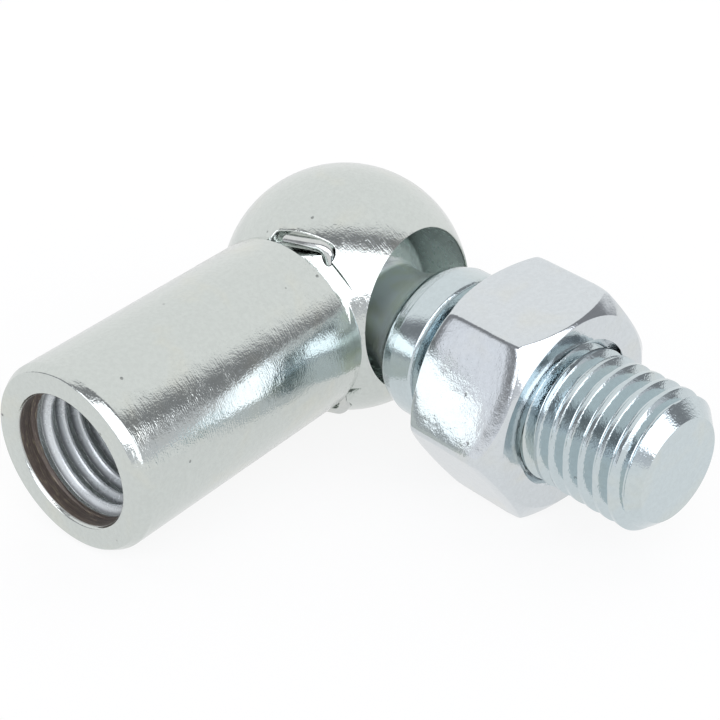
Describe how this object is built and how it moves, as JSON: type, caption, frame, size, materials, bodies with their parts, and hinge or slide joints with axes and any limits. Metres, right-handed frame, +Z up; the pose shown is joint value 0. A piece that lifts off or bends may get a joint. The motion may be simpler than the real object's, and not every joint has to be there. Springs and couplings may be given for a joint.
{
  "type": "angle ball joint",
  "caption": "Zinc-plated steel angle ball joint: tapped round shank with a ball socket, a threaded ball stud with collar and hex nut, and a wire retaining clip.",
  "frame": {"origin": "mouth centre of the tapped hole, on the shank's end face", "axes": "+X along the shank towards the ball, -Y the side the stud leaves the socket, +Z up"},
  "size_m": [0.0597, 0.065, 0.0312],
  "materials": {
    "socket_steel": "bright zinc plate over fine turning marks, slightly greenish",
    "clip_wire": "smooth drawn spring wire, bright",
    "stud_steel": "bright bluish zinc plate",
    "nut_steel": "bright bluish zinc plate, lightly scuffed at the edges"
  },
  "bodies": {
    "socket": {"ball_socket": "socket_steel", "retaining_clip": "clip_wire"},
    "stud": {"ball_stud": "stud_steel"},
    "nut": {"hex_nut": "nut_steel"}
  },
  "joints": [
    {"name": "stud_swivel", "type": "hinge", "parent": "socket", "child": "stud", "pos_m": [0.045, 0, 0], "axis": [0, -1, 0], "continuous": true},
    {"name": "nut_travel", "type": "slide", "parent": "stud", "child": "nut", "axis": [-0.1188, -0.9859, -0.1175], "range_m": [-0.002, 0.012]}
  ]
}
